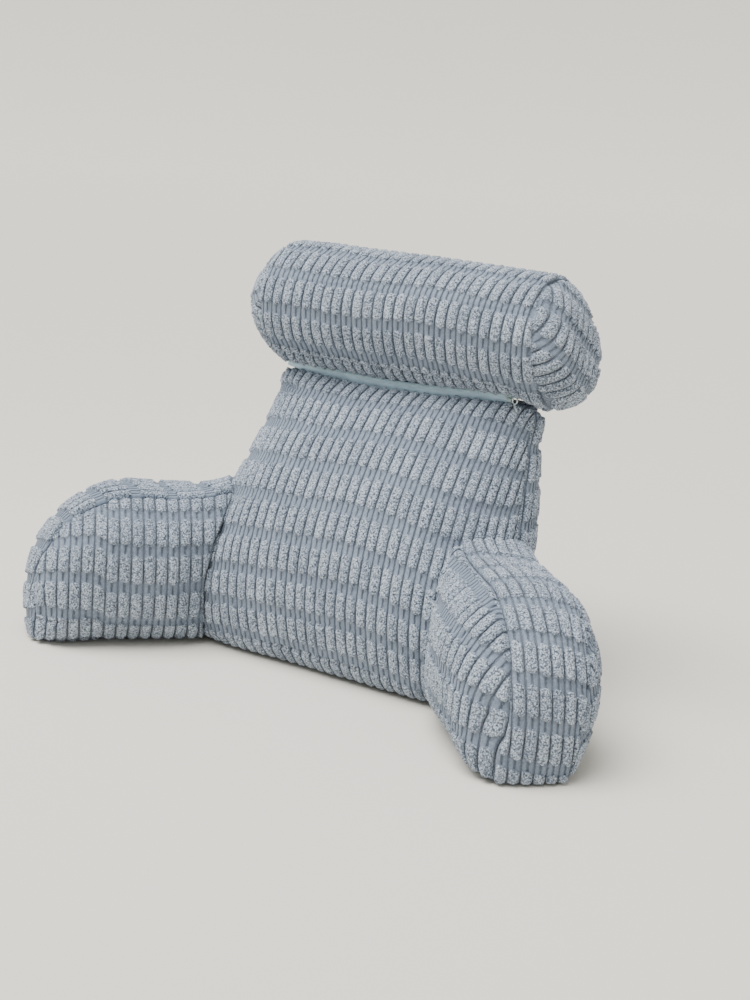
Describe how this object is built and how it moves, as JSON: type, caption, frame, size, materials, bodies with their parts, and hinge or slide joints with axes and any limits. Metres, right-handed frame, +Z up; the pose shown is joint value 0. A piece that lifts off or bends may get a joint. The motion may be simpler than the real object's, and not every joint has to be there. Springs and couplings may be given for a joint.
{
  "type": "reading pillow with arms and neck bolster (lumbar support pillow)",
  "caption": "Stuffed backrest cushion with short splayed arms and a neck bolster zipped on along its top, in ribbed cut plush; stands on its base.",
  "frame": {"origin": "on the surface that the pillow stands on, under the middle of its bounding box", "axes": "+Z up; -Y is the front, towards which the arms reach; +X is the sitter's left, along the bolster, and the longest extent"},
  "size_m": [0.7766, 0.4002, 0.49],
  "materials": {
    "backrest_plush": "ribbed cut plush, blue-grey",
    "arm_left_plush": "ribbed cut plush, blue-grey",
    "arm_right_plush": "ribbed cut plush, blue-grey",
    "bolster_plush": "ribbed cut plush, blue-grey",
    "zip_tape": "woven tape, light blue",
    "zip_coil": "moulded nylon, light blue",
    "zip_slider": "grey-green enamel",
    "zip_pull": "pale enamel"
  },
  "bodies": {
    "root": {"backrest": "backrest_plush", "arm_left": "arm_left_plush", "arm_right": "arm_right_plush", "bolster": "bolster_plush", "zip_tape_lower": "zip_tape", "zip_tape_upper": "zip_tape", "zip_coil": "zip_coil", "zip_slider": "zip_slider", "zip_pull": "zip_pull"}
  },
  "joints": []
}
